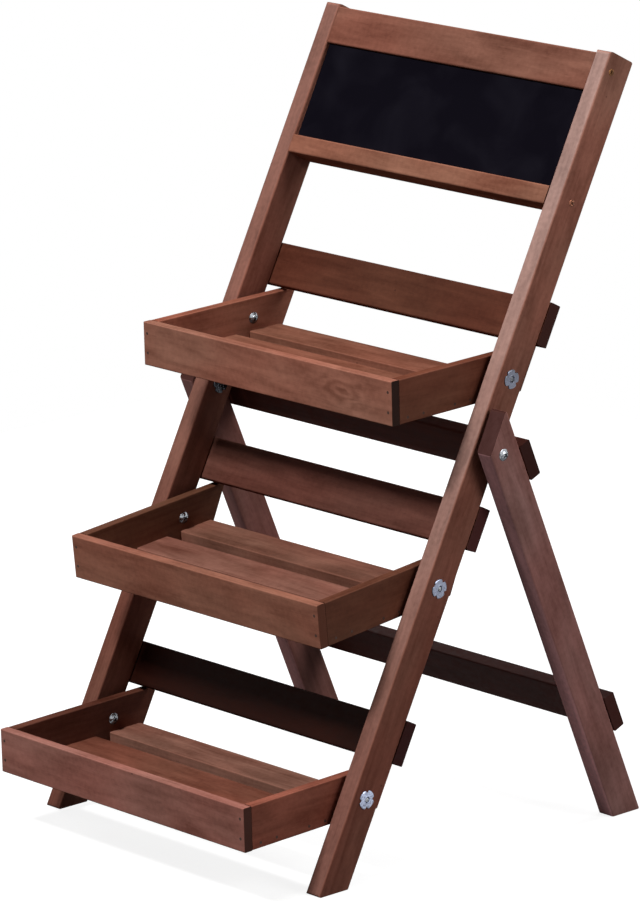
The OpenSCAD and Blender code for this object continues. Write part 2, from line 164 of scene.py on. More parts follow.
def stained_wood(name, grain, wide, cut, tint, sheen_face=None, knot=None, sawn=None, end_tint=WOOD_END):
    """Planed hardwood under a brown stain: soft figure, fine fibres, a dull satin gloss.

    grain and wide are the board's own directions, and cut says where in the log it was sawn:
    across and below the heart, along it, and the slope of its grain in degrees. sheen_face tells
    of a face painted paler with a sheen and with light: its direction, its colours low down and
    high up, the heights between which they change, and whether painted shade low down and
    painted light high up also fall on the whole board. knot is the middle of a knot, and sawn
    the direction of a face that is cut on the slant.
    """
    material, tree, shader = new_material(name + "_stained_hardwood")
    slope = Matrix.Rotation(math.radians(cut[3]), 3, "X") @ Matrix.Rotation(math.radians(cut[3] / 2), 3, "Y")
    turn = slope @ Matrix((wide, grain.cross(wide), grain))
    start = Vector(cut[:3]) * MM - turn @ middle(name)
    place = add(tree, "TexCoord")
    board = add(
        tree,
        "Mapping",
        {"Vector": place.outputs["Object"], "Location": start, "Rotation": turn.to_euler()},
    ).outputs[0]
    soft = add(tree, "Mapping", {"Vector": board, "Scale": SOFT}).outputs[0]
    long = add(tree, "Mapping", {"Vector": board, "Scale": LONG}).outputs[0]
    hair = add(tree, "Mapping", {"Vector": board, "Scale": HAIR}).outputs[0]

    # At a scale of 1 this texture draws a ring each tau / 20 metres
    rings = add(
        tree,
        "TexWave",
        {"Vector": long, "Scale": math.tau / 20 / RING, "Distortion": 5.0, "Detail Scale": 0.35},
        wave_type="RINGS",
        rings_direction="Z",
    ).outputs["Fac"]
    late = add(tree, "Math", {0: rings, 1: 3.0}, operation="POWER").outputs[0]
    streaks = {"Vector": long, "Scale": 1 / STREAK, "Detail": 3.0, "Distortion": 0.7}
    streaks = add(tree, "TexNoise", streaks).outputs["Fac"]
    fibres = add(tree, "TexNoise", {"Vector": hair, "Scale": 1 / FIBRE, "Detail": 3.0}).outputs["Fac"]
    blotches = {"Vector": soft, "Scale": 1 / BLOTCH, "Detail": 4.0, "Distortion": 0.5}
    blotches = add(tree, "TexNoise", blotches).outputs["Fac"]
    drift = add(tree, "TexNoise", {"Vector": soft, "Scale": 1 / DRIFT, "Detail": 2.0}).outputs["Fac"]
    curls = add(tree, "TexNoise", {"Vector": board, "Scale": 1 / CURL, "Detail": 3.0}).outputs["Fac"]

    # How pale the wood is at a point
    shade = {0: streaks, 1: STREAK_SHARE, 2: SHARES_OFF}
    shade = add(tree, "Math", shade, operation="MULTIPLY_ADD").outputs[0]
    figure = ((fibres, FIBRE_SHARE), (blotches, BLOTCH_SHARE), (curls, CURL_SHARE), (late, LATE_WOOD_SHARE))
    for part, share in figure:
        shade = add(tree, "Math", {0: part, 1: share, 2: shade}, operation="MULTIPLY_ADD").outputs[0]
    if knot:
        # The grain flows round a knot in soft ovals
        oval = {"Vector": place.outputs["Object"], "Location": -(turn @ knot), "Rotation": turn.to_euler()}
        oval = add(tree, "Mapping", {"Vector": add(tree, "Mapping", oval).outputs[0], "Scale": KNOT_OVAL})
        away = add(tree, "VectorMath", {0: oval.outputs[0]}, operation="LENGTH").outputs["Value"]
        wander = {0: blotches, 1: 4 * KNOT_RING, 2: away}
        wander = add(tree, "Math", wander, operation="MULTIPLY_ADD").outputs[0]
        wave = add(tree, "Math", {0: wander, 1: math.tau / KNOT_RING}, operation="MULTIPLY").outputs[0]
        wave = add(tree, "Math", {0: wave}, operation="SINE").outputs[0]
        near = {"Value": away, "From Min": 0.4 * KNOT_REACH, "From Max": KNOT_REACH}
        near = add(tree, "MapRange", near | {"To Min": KNOT_SHARE, "To Max": 0.0}).outputs[0]
        shade = add(tree, "Math", {0: wave, 1: near, 2: shade}, operation="MULTIPLY_ADD").outputs[0]
    deep, pale = ([a * b for a, b in zip(linear(tint), gains)] + [1] for gains in (DEEP, PALE))
    colour = add(tree, "Mix", {0: shade, 6: deep, 7: pale}, data_type="RGBA").outputs[2]
    drift = add(tree, "MapRange", {"Value": drift, "From Min": 0.38, "From Max": 0.62}).outputs[0]
    drift = add(tree, "Mix", {0: drift, 6: REDDER, 7: BROWNER}, data_type="RGBA").outputs[2]
    colour = {0: 1.0, 6: colour, 7: drift}
    colour = add(tree, "Mix", colour, data_type="RGBA", blend_type="MULTIPLY").outputs[2]

    # Open pores and pin knots, filled with stain
    cells = add(tree, "TexVoronoi", {"Vector": long, "Scale": 1 / PORE}).outputs
    pores = {"Value": cells["Distance"], "From Min": 0.08, "From Max": 0.2}
    pores = add(tree, "MapRange", pores | {"To Min": PORE_STAIN, "To Max": 0.0}).outputs[0]
    cells = add(tree, "TexVoronoi", {"Vector": board, "Scale": 1 / PIN_KNOT}).outputs
    knots = {"Value": cells["Distance"], "From Min": 0.012, "From Max": 0.024}
    knots = add(tree, "MapRange", knots | {"To Min": PIN_KNOT_STAIN, "To Max": 0.0}).outputs[0]
    stain = add(tree, "Math", {0: pores, 1: knots}, operation="MAXIMUM").outputs[0]
    colour = add(tree, "Mix", {0: stain, 6: colour, 7: linear(WOOD_END, 0.6)}, data_type="RGBA").outputs[2]

    # A face painted with sheen has a mottle across its grain, and painted shade darkens the board low down
    # and painted light lifts it high up
    if sheen_face:
        front = {0: place.outputs["Normal"], 1: sheen_face["way"]}
        front = add(tree, "VectorMath", front, operation="DOT_PRODUCT").outputs["Value"]
        front = add(tree, "MapRange", {"Value": front, "From Min": 0.45, "From Max": 0.9}).outputs[0]
        high = {0: place.outputs["Object"], 1: grain}
        high = add(tree, "VectorMath", high, operation="DOT_PRODUCT").outputs["Value"]
        high = {"Value": high, "From Min": sheen_face["from"], "From Max": sheen_face["to"]}
        high = add(tree, "MapRange", high).outputs[0]
        sheen_colour = {0: high, 6: linear(sheen_face["low"]), 7: linear(sheen_face["high"])}
        sheen_colour = add(tree, "Mix", sheen_colour, data_type="RGBA").outputs[2]
    if sheen_face and sheen_face["painted_shading"]:
        painted_shading = add(tree, "Mix", {0: high, 6: PAINTED_SHADE_LOW, 7: PAINTED_LIGHT_HIGH}, data_type="RGBA").outputs[2]
        colour = {0: 1.0, 6: colour, 7: painted_shading}
        colour = add(tree, "Mix", colour, data_type="RGBA", blend_type="MULTIPLY").outputs[2]
        high = {0: high, 1: 1 - PAINTED_SHEEN_LEAST, 2: PAINTED_SHEEN_LEAST}
        high = add(tree, "Math", high, operation="MULTIPLY_ADD").outputs[0]
        front = add(tree, "Math", {0: front, 1: high}, operation="MULTIPLY").outputs[0]
    if sheen_face:
        # The sheen's mottle is painted, broken up by the curly grain
        mottle = add(tree, "Math", {0: curls, 1: 0.55, 2: -0.27}, operation="MULTIPLY_ADD").outputs[0]
        mottle = add(tree, "Math", {0: mottle, 1: shade}, operation="ADD", use_clamp=True).outputs[0]
        mottle = {0: mottle, 1: MOTTLE_SPAN, 2: MOTTLE_DARK}
        mottle = add(tree, "Math", mottle, operation="MULTIPLY_ADD").outputs[0]
        sheen_colour = add(tree, "VectorMath", {0: sheen_colour, "Scale": mottle}, operation="SCALE").outputs[0]
        colour = add(tree, "Mix", {0: front, 6: colour, 7: sheen_colour}, data_type="RGBA").outputs[2]

    # Cut ends are darker, and the rounded edges are lighter where they don't face down, partly wear and
    # partly a painted highlight
    flats = []
    for way in (wide, grain.cross(wide), grain, sawn or grain):
        toward = {0: place.outputs["Normal"], 1: way}
        toward = add(tree, "VectorMath", toward, operation="DOT_PRODUCT").outputs["Value"]
        flats.append(add(tree, "Math", {0: toward}, operation="ABSOLUTE").outputs[0])
    flat = flats[0]
    for other in flats[1:]:
        flat = add(tree, "Math", {0: flat, 1: other}, operation="MAXIMUM").outputs[0]
    edge = {"Value": flat, "From Min": 0.8, "From Max": 0.97, "To Min": EDGE_SHOWN, "To Max": 0.0}
    edge = add(tree, "MapRange", edge).outputs[0]
    raised = add(tree, "SeparateXYZ", {0: place.outputs["Normal"]}).outputs["Z"]
    raised = add(tree, "MapRange", {"Value": raised, "From Min": -0.2, "From Max": 0.2}).outputs[0]
    edge = add(tree, "Math", {0: edge, 1: raised}, operation="MULTIPLY").outputs[0]
    colour = {0: edge, 6: colour, 7: linear(tint, EDGE_GAIN)}
    colour = add(tree, "Mix", colour, data_type="RGBA").outputs[2]
    end = {"Value": flats[2], "From Min": 0.8, "From Max": 0.93, "To Min": 0.0, "To Max": END_STAIN}
    end = add(tree, "MapRange", end).outputs[0]
    # The slanting cut at the top of a leg is darker with stain and with painted shade
    slant = {"Value": flats[3], "From Min": 0.92, "From Max": 0.98, "To Min": 0.0, "To Max": SLANT_STAIN_AND_SHADE}
    slant = add(tree, "MapRange", slant).outputs[0]
    end = add(tree, "Math", {0: end, 1: slant}, operation="MAXIMUM").outputs[0]
    colour = add(tree, "Mix", {0: end, 6: colour, 7: linear(end_tint)}, data_type="RGBA").outputs[2]

    # A dull satin stain: its faint gloss breaks up in the curly grain, and goes at a glancing view
    gloss = {"Value": curls, "From Min": 0.3, "From Max": 0.7, "To Min": SATIN_SHINY, "To Max": SATIN_DULL}
    gloss = add(tree, "MapRange", gloss).outputs[0]
    relief = add(tree, "Math", {0: fibres, 1: 0.6, 2: curls}, operation="MULTIPLY_ADD").outputs[0]
    relief = add(tree, "Math", {0: stain, 1: -0.8, 2: relief}, operation="MULTIPLY_ADD").outputs[0]
    bump = add(tree, "Bump", {"Height": relief, "Distance": GRAIN_RELIEF, "Strength": 0.5})
    tree.links.new(colour, shader.inputs["Base Color"])
    tree.links.new(gloss, shader.inputs["Roughness"])
    tree.links.new(bump.outputs[0], shader.inputs["Normal"])
    glance = add(tree, "LayerWeight", {"Blend": 0.5}).outputs["Facing"]
    sheen = {"Value": glance, "From Min": 0.35, "From Max": 0.7, "To Min": SATIN_SHEEN, "To Max": 0.0}
    sheen = add(tree, "MapRange", sheen).outputs[0]
    tree.links.new(sheen, shader.inputs["Specular IOR Level"])
    return material


def finish(name, material):
    """Gives a CAD node its material."""
    nodes[name].data.materials.clear()
    nodes[name].data.materials.append(material)


# Where in the log each stile was sawn, as stained_wood asks for it
STILE_CUTS = {"stile_left": (14, 60, 130, 1.2), "stile_right": (-22, 48, 610, 0.9)}
# Each stile's front is painted paler with sheen and light, and painted shade low down and painted light high
# up fall on the whole stile
for name, cut in STILE_CUTS.items():
    low, high = STILE_FRONTS[name]
    sheen_colour_front = {"way": -behind_stile, "low": low, "high": high}
    sheen_colour_front |= {"from": PAINTED_LIGHT_FROM_HEIGHT, "to": PAINTED_LIGHT_TO_HEIGHT, "painted_shading": True}
    finish(name, stained_wood(name, up_stile, behind_stile, cut, STILE_TINT, sheen_colour_front))


# Rails of the header.
# The top rail stands on edge between the stiles and the bottom rail lies flat under the
# chalkboard, both of the same stained hardwood, held by screws through the stiles.

RAIL_CUTS = {"top_rail": (30, 70, 40, 1.6), "bottom_rail": (-25, 45, 420, 2.0)}
RAIL_TINTS = {"top_rail": "#794d3f", "bottom_rail": "#885947"}
for name, cut in RAIL_CUTS.items():
    finish(name, stained_wood(name, ACROSS, up_stile, cut, RAIL_TINTS[name]))


# Chalkboard.
# A thin fibreboard panel in a groove all round, rolled with matt black chalkboard paint
# that has a faint bluish cast and a little wiped chalk dust in it.

CHALKBOARD = "#100e15"
CHALK_DUST = "#25232b"
ROLLER_GRAIN = 0.8 * MM
ROLLER_RELIEF = 0.05 * MM
DUST_CLOUD = 70 * MM
PAINT_ROUGH = 0.85


def chalkboard_paint():
    """Matt black paint: no gloss, a fine roller texture and faint clouds of wiped dust."""
    no_gloss = {"Specular_IOR_Level": 0.0, "Roughness": PAINT_ROUGH}
    material, tree, shader = new_material("chalkboard_matt_paint", **no_gloss)
    place = add(tree, "TexCoord").outputs["Object"]
    clouds = {"Vector": place, "Scale": 1 / DUST_CLOUD, "Detail": 4.0, "Distortion": 0.6}
    clouds = add(tree, "TexNoise", clouds).outputs["Fac"]
    dust = {"Value": clouds, "From Min": 0.45, "From Max": 0.8, "To Min": 0.0, "To Max": 0.35}
    dust = add(tree, "MapRange", dust).outputs[0]
    colour = {0: dust, 6: linear(CHALKBOARD), 7: linear(CHALK_DUST)}
    colour = add(tree, "Mix", colour, data_type="RGBA").outputs[2]
    grain = add(tree, "TexNoise", {"Vector": place, "Scale": 1 / ROLLER_GRAIN, "Detail": 2.0}).outputs["Fac"]
    bump = add(tree, "Bump", {"Height": grain, "Distance": ROLLER_RELIEF, "Strength": 0.5})
    tree.links.new(colour, shader.inputs["Base Color"])
    tree.links.new(bump.outputs[0], shader.inputs["Normal"])
    return material


finish("chalkboard_panel", chalkboard_paint())


# Crossbars.
# Three boards of 50 by 16.5 mm screwed across the rear faces of the stiles, one over each tray.
# Their dark end grain shows outside the stiles, where it soaked up the stain.

CROSSBAR_CUTS = {
    "crossbar_top": (10, 55, 90, 0.8),
    "crossbar_middle": (-30, 40, 300, 1.1),
    "crossbar_bottom": (26, 80, 700, 0.7),
}
# The bottom crossbar's near-black tint is painted shade from the tray over it
CROSSBAR_TINTS = {"crossbar_top": "#573124", "crossbar_middle": "#5f3a31", "crossbar_bottom": "#260f09"}
# The middle and bottom crossbars' ends are lighter and darker than WOOD_END with painted light and painted
# shade
CROSSBAR_ENDS = {"crossbar_top": WOOD_END, "crossbar_middle": "#422120", "crossbar_bottom": "#2c0e0d"}
for name, cut in CROSSBAR_CUTS.items():
    tint, ends = CROSSBAR_TINTS[name], CROSSBAR_ENDS[name]
    finish(name, stained_wood(name, ACROSS, up_stile, cut, tint, end_tint=ends))


# Wood screws of the rails and crossbars.
# Zinc plated countersunk screws with a cross recess, driven flush. Those through the stiles
# into the rails were put in before the stain, so their heads are brownish.

# In millimetres: the outline of a screw is drawn in them
SCREW_HEAD_R = 4
SCREW_HEAD_H = 3
SCREW_R = 2
SCREW_LEN = 42
SCREW_POINT = 4
# The cross recess of a screw: where its cutting starts, half its reach and width, its depth
SCREW_RECESS = (-0.1 * MM, 2.3 * MM, 0.5 * MM, 1.4 * MM)
# How much of a recess's width and height is left at its floor
RECESS_TAPER = (0.72, 0.72, 0.4)
# A face of a head looks up when its normal's z is over this
LOOKS_UP = 0.3
MERGE = 0.001 * MM
SHARP_EDGE = math.radians(32)
STILE_OUT_X = 230 * MM
BAR_SCREW_X = 219 * MM
BAR_SCREW_UP = 13 * MM
BAR_HALF_T = 8.25 * MM
TOP_RAIL_SCREW_UP = 4.45 * MM


def lathe(bm, outline, steps):
    """Spins an outline of (radius, height) points, in millimetres, round the z axis."""
    verts = [bm.verts.new((r * MM, 0, z * MM)) for r, z in outline]
    edges = [bm.edges.new(pair) for pair in zip(verts, verts[1:])]
    bmesh.ops.spin(
        bm, geom=verts + edges, axis=(0, 0, 1), cent=(0, 0, 0), angle=math.tau, steps=steps, use_merge=True
    )
    bmesh.ops.remove_doubles(bm, verts=bm.verts[:], dist=MERGE)
    bmesh.ops.recalc_face_normals(bm, faces=bm.faces[:])


def cross_recess(bm, top, reach, width, depth):
    """Sinks a cross into the top of a head, for the driver. top is the height where cutting starts."""
    for half in (-reach, -width, width, reach):
        for way in (Vector((1, 0, 0)), Vector((0, 1, 0))):
            faces = [f for f in bm.faces if f.normal.z > LOOKS_UP and f.calc_center_median().z > top]
            edges = {e for f in faces for e in f.edges}
            verts = {v for f in faces for v in f.verts}
            geom = faces + list(edges) + list(verts)
            bmesh.ops.bisect_plane(bm, geom=geom, plane_co=way * half, plane_no=way, dist=MERGE)
    bm.faces.ensure_lookup_table()
    cross = []
    for face in bm.faces:
        spot = face.calc_center_median()
        near, far = sorted((abs(spot.x), abs(spot.y)))
        if face.normal.z > LOOKS_UP and spot.z > top and near < width and far < reach:
            cross.append(face)
    made = bmesh.ops.extrude_face_region(bm, geom=cross)["geom"]
    bmesh.ops.delete(bm, geom=cross, context="FACES")
    floor = [v for v in made if isinstance(v, bmesh.types.BMVert)]
    bmesh.ops.scale(bm, vec=RECESS_TAPER, space=Matrix.Translation((0, 0, -top)), verts=floor)
    bmesh.ops.translate(bm, vec=(0, 0, -depth), verts=floor)


def piece_of(name, bm, places, material):
    """An object of one bmesh at each of the places, with sharp edges kept sharp."""
    bmesh.ops.recalc_face_normals(bm, faces=bm.faces[:])
    part = bpy.data.meshes.new(name + "_part")
    bm.to_mesh(part)
    bm.free()
    whole = bmesh.new()
    for place in places:
        first = len(whole.verts)
        whole.from_mesh(part)
        whole.verts.ensure_lookup_table()
        bmesh.ops.transform(whole, matrix=place, verts=whole.verts[first:])
    for face in whole.faces:
        face.smooth = True
    for edge in whole.edges:
        edge.smooth = edge.calc_face_angle(0) < SHARP_EDGE
    mesh = bpy.data.meshes.new(name)
    whole.to_mesh(mesh)
    whole.free()
    bpy.data.meshes.remove(part)
    mesh.materials.append(material)
    piece = bpy.data.objects.new(name, mesh)
    bpy.context.scene.collection.objects.link(piece)
    return piece


def facing(spot, way, turn=0.0):
    """Where a part drawn along +z goes: its origin at spot, its +z along way, turned about it."""
    turned = Matrix.Rotation(math.radians(turn), 4, "Z")
    return Matrix.Translation(spot) @ way.to_track_quat("Z", "Y").to_matrix().to_4x4() @ turned


# The bright plate of bolts and crossbar screws, its duller spots, partly spangle and partly painted
# dark reflections, and painted shade on undersides, and the brown heads of the rails' screws
ZINC = "#b4b8be"
ZINC_SHADE_AND_SPOTS = "#54565b"
SCREW_STAINED = "#94663f"
SCREW_DARK = "#2e1c15"
SCREW_DIM = "#b0745a"
# The heads turn from brown to dim between these heights
SCREW_BROWN_ABOVE = 820 * MM
SCREW_DIM_BELOW = 770 * MM
SPANGLE = 1.6 * MM
ZINC_RELIEF = 0.03 * MM
BOLT_ROUGH = 0.2
SCREW_ROUGH = 0.35


def zinc_plate(name, colour, dull, roughness, dim=None):
    """Steel with bright bluish zinc plate: a cool metal gloss with small duller spots.

    It is painted with shade where it faces down, and its duller spots are partly spangle and
    partly painted dark reflections. dim is the height where it starts to turn to another
    colour, the height where it has done so, and that colour.
    """
    material, tree, shader = new_material(name, Metallic=1.0)
    place = add(tree, "TexCoord").outputs["Object"]
    spots = add(tree, "TexNoise", {"Vector": place, "Scale": 1 / SPANGLE, "Detail": 3.0}).outputs["Fac"]
    painted_shading = add(tree, "MapRange", {"Value": spots, "From Min": 0.45, "From Max": 0.6}).outputs[0]
    # Painted shade where the metal faces down
    under = add(tree, "SeparateXYZ", {0: add(tree, "TexCoord").outputs["Normal"]}).outputs["Z"]
    under = {"Value": under, "From Min": 0.3, "From Max": -0.5, "To Min": 0.0, "To Max": 1.0}
    under = add(tree, "MapRange", under).outputs[0]
    painted_shading = add(tree, "Math", {0: painted_shading, 1: 0.6, 2: under}, operation="MULTIPLY_ADD").outputs[0]
    mixed = {0: painted_shading, 6: linear(colour), 7: linear(dull)}
    if dim:
        high = add(tree, "SeparateXYZ", {0: place}).outputs["Z"]
        high = add(tree, "MapRange", {"Value": high, "From Min": dim[0], "From Max": dim[1]}).outputs[0]
        mixed[6] = {0: high, 6: linear(colour), 7: linear(dim[2])}
        mixed[6] = add(tree, "Mix", mixed[6], data_type="RGBA").outputs[2]
    mixed = add(tree, "Mix", mixed, data_type="RGBA").outputs[2]
    gloss = {"Value": spots, "From Min": 0.3, "From Max": 0.7}
    gloss |= {"To Min": roughness - 0.06, "To Max": roughness + 0.1}
    gloss = add(tree, "MapRange", gloss).outputs[0]
    bump = add(tree, "Bump", {"Height": spots, "Distance": ZINC_RELIEF, "Strength": 0.4})
    tree.links.new(mixed, shader.inputs["Base Color"])
    tree.links.new(gloss, shader.inputs["Roughness"])
    tree.links.new(bump.outputs[0], shader.inputs["Normal"])
    return material


def wood_screw():
    """A countersunk screw along z with its head's face at z = 0 and looking up."""
    bm = bmesh.new()
    point = [(0, -SCREW_LEN), (0.4, 0.4 - SCREW_LEN), (SCREW_R, SCREW_POINT - SCREW_LEN)]
    cone = [(SCREW_R, -SCREW_HEAD_H), (SCREW_HEAD_R - 0.1, -0.2)]
    head = [(SCREW_HEAD_R, -0.05), (SCREW_HEAD_R - 0.1, 0), (SCREW_R, 0), (0, 0)]
    lathe(bm, point + cone + head, 32)
    cross_recess(bm, *SCREW_RECESS)
    return bm


bright_zinc = zinc_plate("bright_zinc_plated_steel", ZINC, ZINC_SHADE_AND_SPOTS, BOLT_ROUGH)
screw_dim = (SCREW_BROWN_ABOVE, SCREW_DIM_BELOW, SCREW_DIM)
stained_zinc = zinc_plate("stained_zinc_plated_steel", SCREW_STAINED, SCREW_DARK, SCREW_ROUGH, screw_dim)

rail_spots = [middle("top_rail") + up_stile * TOP_RAIL_SCREW_UP, middle("bottom_rail")]
places = [facing(spot + side * STILE_OUT_X, side, 20) for side in (ACROSS, -ACROSS) for spot in rail_spots]
rail_screws = piece_of("rail_screws_crossed", wood_screw(), places, stained_zinc)
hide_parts("rail_screws")
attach(rail_screws, "ladder_frame")

places = []
for name in CROSSBAR_CUTS:
    rear = middle(name) + behind_stile * BAR_HALF_T
    for x in (-BAR_SCREW_X, BAR_SCREW_X):
        for up in (-BAR_SCREW_UP, BAR_SCREW_UP):
            places.append(facing(rear + ACROSS * x + up_stile * up, behind_stile, 31 * len(places)))
crossbar_screws = piece_of("crossbar_screws_crossed", wood_screw(), places, bright_zinc)
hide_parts("crossbar_screws")
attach(crossbar_screws, "ladder_frame")


# Trays.
# Three shallow open trays of stained boards: a front board, two side boards with slanting
# rear ends, and three slats nailed between the sides, with gaps to let water through.

# How far each tray tilts, front down, in degrees
TRAY_TILTS = {"tray_top": 1.5, "tray_middle": 6.0, "tray_bottom": 1.5}
# Where in the log the top tray's boards were sawn. The other trays' boards come from further on.
TRAY_CUTS = {
    "front": (-12, 62, 240, 1.8),
    "side_left": (20, 40, 60, 1.5),
    "side_right": (-16, 52, 510, 1.3),
    "slat_front": (9, 35, 150, 1.0),
    "slat_middle": (-21, 66, 330, 1.2),
    "slat_rear": (17, 44, 820, 0.9),
}
# The boards' colours in the top, middle and bottom tray. The left side boards of the middle and bottom trays
# are darker with painted shade.
TRAY_TINTS = {
    "front": ("#8c5c4c", "#8a5a49", "#946257"),
    "side_left": ("#8b5544", "#674131", "#603a2e"),
    "side_right": ("#62392b", "#5e392b", "#864e3f"),
    "slat_front": ("#7a4c3d", "#744a3c", "#764736"),
    "slat_middle": ("#7d4f3f", "#835649", "#7b4b3c"),
    "slat_rear": ("#7e5040", "#795042", "#855a4c"),
}
# The cut ends of the front boards, in the top, middle and bottom tray
FRONT_ENDS = ("#170b08", "#5c3629", "#3f241d")
# The top tray's front board has one knot, right of its middle
KNOT_AT = Vector((128, -62.2, 532)) * MM
for number, (tray, tilt) in enumerate(TRAY_TILTS.items()):
    back = Vector((0, math.cos(math.radians(tilt)), math.sin(math.radians(tilt))))
    over = ACROSS.cross(back)
    for board, cut in TRAY_CUTS.items():
        name = tray + "_" + board
        grain = back if board.startswith("side") else ACROSS
        wide = back if board.startswith("slat") else over
        cut = (cut[0] + 7 * number, cut[1] - 5 * number, cut[2] + 390 * number, cut[3])
        knot = KNOT_AT if name == "tray_top_front" else None
        ends = FRONT_ENDS[number] if board == "front" else WOOD_END
        tint = TRAY_TINTS[board][number]
        finish(name, stained_wood(name, grain, wide, cut, tint, knot=knot, end_tint=ends))


# Nails.
# Finishing nails through the front and side boards, set flush before the stain, so that
# their small heads show as dark dots.

NAIL_DARK = "#241a17"
NAIL_RUST = "#4a2e22"


def stained_nail():
    """Blackened steel nail heads with a little rust and stain: small dark, dull dots."""
    material, tree, shader = new_material("stained_nail_steel", Metallic=0.6)
    place = add(tree, "TexCoord").outputs["Object"]
    spots = add(tree, "TexNoise", {"Vector": place, "Scale": 1 / MM, "Detail": 2.0}).outputs["Fac"]
    mixed = {0: spots, 6: linear(NAIL_DARK), 7: linear(NAIL_RUST)}
    mixed = add(tree, "Mix", mixed, data_type="RGBA").outputs[2]
    gloss = add(tree, "MapRange", {"Value": spots, "To Min": 0.5, "To Max": 0.8}).outputs[0]
    tree.links.new(mixed, shader.inputs["Base Color"])
    tree.links.new(gloss, shader.inputs["Roughness"])
    return material


nail_steel = stained_nail()
for tray in TRAY_TILTS:
    finish(tray + "_nails", nail_steel)


# Rear legs and their crossbars.
# Two legs outside the stiles, cut on the slant at the top, joined by two boards of 45.5 by
# 16.5 mm screwed across their rear faces. The same stained hardwood as the stiles.

LEG_LEAN = math.radians(23.1)
LEG_SCREW_X = 245.5 * MM
LEG_SCREW_UP = 10.75 * MM
up_leg = Vector((0, -math.sin(LEG_LEAN), math.cos(LEG_LEAN)))
behind_leg = Vector((0, math.cos(LEG_LEAN), math.sin(LEG_LEAN)))
LEG_CUTS = {"rear_leg_left": (-18, 58, 270, 1.1), "rear_leg_right": (24, 50, 930, 1.0)}
LEG_BAR_CUTS = {"leg_crossbar_upper": (12, 47, 350, 0.9), "leg_crossbar_lower": (-14, 64, 560, 1.2)}
LEG_TINTS = {"rear_leg_left": "#7c524b", "rear_leg_right": "#8a615b"}
# The legs' fronts are painted paler low down with light thrown up from the floor, and with sheen: their
# colours there and higher up, and those heights
LEG_FRONTS = {"rear_leg_left": ("#b27d7b", "#75504c"), "rear_leg_right": ("#e7a8a9", "#896363")}
LEG_PALE_BELOW = 0.0
LEG_DARK_ABOVE = 250 * MM
# Both leg crossbars are painted darker with the shade of the trays over them, the lower one most, and so are
# their ends
LEG_BAR_TINTS = {"leg_crossbar_upper": "#4b251e", "leg_crossbar_lower": "#2f100b"}
LEG_BAR_ENDS = {"leg_crossbar_upper": "#2b110d", "leg_crossbar_lower": "#3a1a15"}
LEG_TOP_SLOPE = math.radians(41)
leg_top = up_leg * math.cos(LEG_TOP_SLOPE) - behind_leg * math.sin(LEG_TOP_SLOPE)
for name, cut in LEG_CUTS.items():
    low, high = LEG_FRONTS[name]
    pale_front = {"way": -behind_leg, "low": low, "high": high}
    pale_front |= {"from": LEG_PALE_BELOW, "to": LEG_DARK_ABOVE, "painted_shading": False}
    finish(name, stained_wood(name, up_leg, behind_leg, cut, LEG_TINTS[name], pale_front, sawn=leg_top))
places = []
for name, cut in LEG_BAR_CUTS.items():
    tint, ends = LEG_BAR_TINTS[name], LEG_BAR_ENDS[name]
    finish(name, stained_wood(name, ACROSS, up_leg, cut, tint, end_tint=ends))
    rear = middle(name) + behind_leg * BAR_HALF_T
    for x in (-LEG_SCREW_X, LEG_SCREW_X):
        for up in (-LEG_SCREW_UP, LEG_SCREW_UP):
            places.append(facing(rear + ACROSS * x + up_leg * up, behind_leg, 17 + 29 * len(places)))
leg_screws = piece_of("leg_screws_crossed", wood_screw(), places, bright_zinc)
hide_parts("leg_crossbar_screws")
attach(leg_screws, "leg_frame")


# Bolts.
# Domed machine screws of 6 mm, zinc plated, with a cross recess. The trays' heads are inside
# the side boards and the legs' heads outside the legs, and the ends show in the star nuts.

# In millimetres: the outline of a bolt is drawn in them
HEAD_R = 6.8
HEAD_H = 3.6
BOLT_R = 3
DOME_POINTS = 10
TRAY_HEAD_X = 191.8 * MM
LEG_HEAD_X = 256.7 * MM
BOLT_END_OUT = 231.3 * MM
BOLT_END_IN = 206.7 * MM
# The cross recess of a bolt: where its cutting starts, half its reach and width, its depth
BOLT_RECESS = (2.2 * MM, 3.3 * MM, 0.75 * MM, 1.9 * MM)


def domed_bolt(length):
    """A bolt along z whose domed head stands on z = 0 and looks up; length is in millimetres."""
    bm = bmesh.new()
    dome_r = (HEAD_R**2 + HEAD_H**2) / (2 * HEAD_H)
    widest = math.asin(HEAD_R / dome_r)
    dome = []
    for k in range(DOME_POINTS):
        angle = widest * k / (DOME_POINTS - 0.4)
        dome.append((dome_r * math.sin(angle), dome_r * math.cos(angle) + HEAD_H - dome_r))
    rim = [(HEAD_R, 0.3), (HEAD_R, 0.12), (HEAD_R - 0.15, 0), (BOLT_R + 0.1, 0), (BOLT_R, -0.1)]
    end = [(BOLT_R, 1.0 - length), (BOLT_R - 0.7, 0.1 - length), (BOLT_R - 1.2, -length), (0, -length)]
    lathe(bm, dome + rim + end, 48)
    cross_recess(bm, *BOLT_RECESS)
    return bm


places = []
for tray in TRAY_TILTS:
    for side in (ACROSS, -ACROSS):
        places.append(facing(pivots[tray + "_fold"] + side * TRAY_HEAD_X, -side, 15 + 37 * len(places)))
tray_bolts = piece_of("tray_bolts_domed", domed_bolt((BOLT_END_OUT - TRAY_HEAD_X) / MM), places, bright_zinc)
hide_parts("tray_bolts")
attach(tray_bolts, "ladder_frame")

places = [facing(pivots["leg_fold"] + side * LEG_HEAD_X, side, 40) for side in (ACROSS, -ACROSS)]
pivot_bolts = piece_of("pivot_bolts_domed", domed_bolt((LEG_HEAD_X - BOLT_END_IN) / MM), places, bright_zinc)
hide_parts("pivot_bolts")
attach(pivot_bolts, "ladder_frame")


# Star nuts and washers.
# Pressed steel nuts with four notches, whose prongs are bent into the wood, with a raised
# lip round the threaded barrel, zinc plated. Plain washers fill the gaps between the boards.

